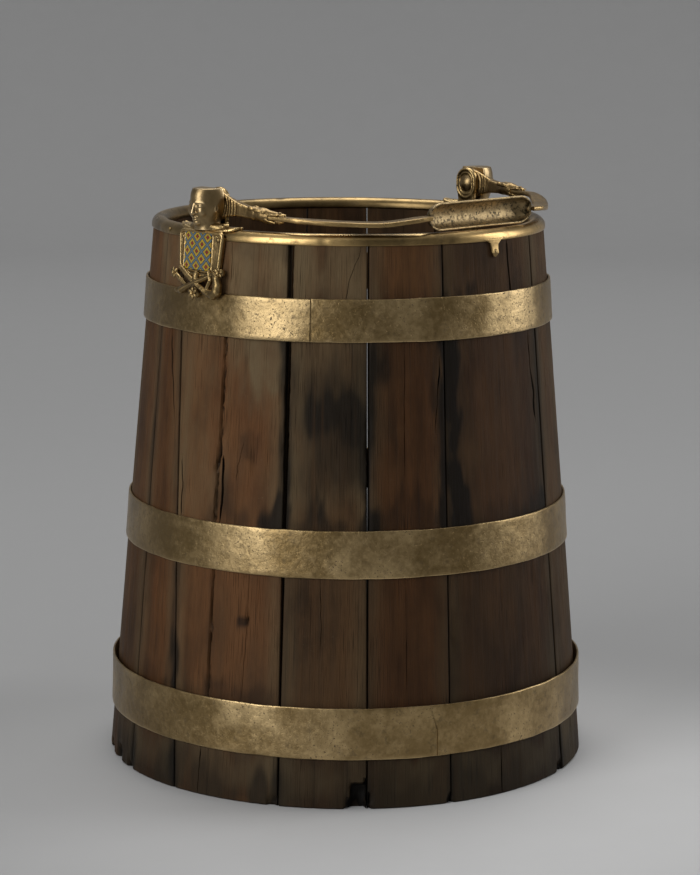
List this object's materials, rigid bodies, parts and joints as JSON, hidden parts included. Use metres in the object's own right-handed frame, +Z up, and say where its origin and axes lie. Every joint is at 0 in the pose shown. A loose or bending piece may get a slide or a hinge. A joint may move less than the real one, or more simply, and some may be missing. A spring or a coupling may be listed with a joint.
{
  "type": "coopered bucket",
  "caption": "Tapered coopered wooden bucket with riveted brass hoops, a folded brass rim and a swinging bail with a dished grip, hung from mask-head lugs.",
  "frame": {"origin": "middle of the base, on the surface that the bucket stands on", "axes": "+Z up, X along the pivot axis of the bail, -X towards the front lug, -Y towards the side the bail is folded to"},
  "size_m": [0.3098, 0.3098, 0.3729],
  "materials": {
    "stave_wood": "old dark oiled oak, dry and cracked",
    "board_wood": "old dark oak, dull",
    "hoop_brass": "worn antique brass, pitted and dented",
    "rim_brass": "brass polished by wear along its top",
    "cast_brass": "cast brass with dark patina in its hollows",
    "bail_brass": "forged brass, brown patina, bright edges",
    "enamel": "glossy vitreous enamel"
  },
  "bodies": {
    "bucket": {"stave_01": "stave_wood", "stave_02": "stave_wood", "stave_03": "stave_wood", "stave_04": "stave_wood", "stave_05": "stave_wood", "stave_06": "stave_wood", "stave_07": "stave_wood", "stave_08": "stave_wood", "stave_09": "stave_wood", "stave_10": "stave_wood", "stave_11": "stave_wood", "stave_12": "stave_wood", "stave_13": "stave_wood", "stave_14": "stave_wood", "stave_15": "stave_wood", "stave_16": "stave_wood", "bottom_board_left": "board_wood", "bottom_board_middle": "board_wood", "bottom_board_right": "board_wood", "bottom_dowels": "board_wood", "upper_hoop": "hoop_brass", "middle_hoop": "hoop_brass", "lower_hoop": "hoop_brass", "hoop_rivets": "hoop_brass", "rim_band": "rim_brass", "rim_nails": "cast_brass", "front_lug": "cast_brass", "front_mask": "cast_brass", "front_shield": "cast_brass", "front_enamel": "enamel", "front_stems": "cast_brass", "front_shield_nails": "cast_brass", "front_pivot_pin": "cast_brass", "back_lug": "cast_brass", "back_mask": "cast_brass", "back_shield": "cast_brass", "back_enamel": "enamel", "back_stems": "cast_brass", "back_shield_nails": "cast_brass", "back_pivot_pin": "cast_brass", "lug_strap_nails": "cast_brass"},
    "bail": {"bail_front_sleeve": "cast_brass", "bail_back_sleeve": "cast_brass", "bail_front_strap": "bail_brass", "bail_back_strap": "bail_brass", "bail_grip": "bail_brass", "bail_rivets": "cast_brass"}
  },
  "joints": [
    {"name": "bail_swing", "type": "hinge", "parent": "bucket", "child": "bail", "pos_m": [0, 0, 0.362], "axis": [-1, 0, 0], "range_deg": [0, 184.4]}
  ]
}
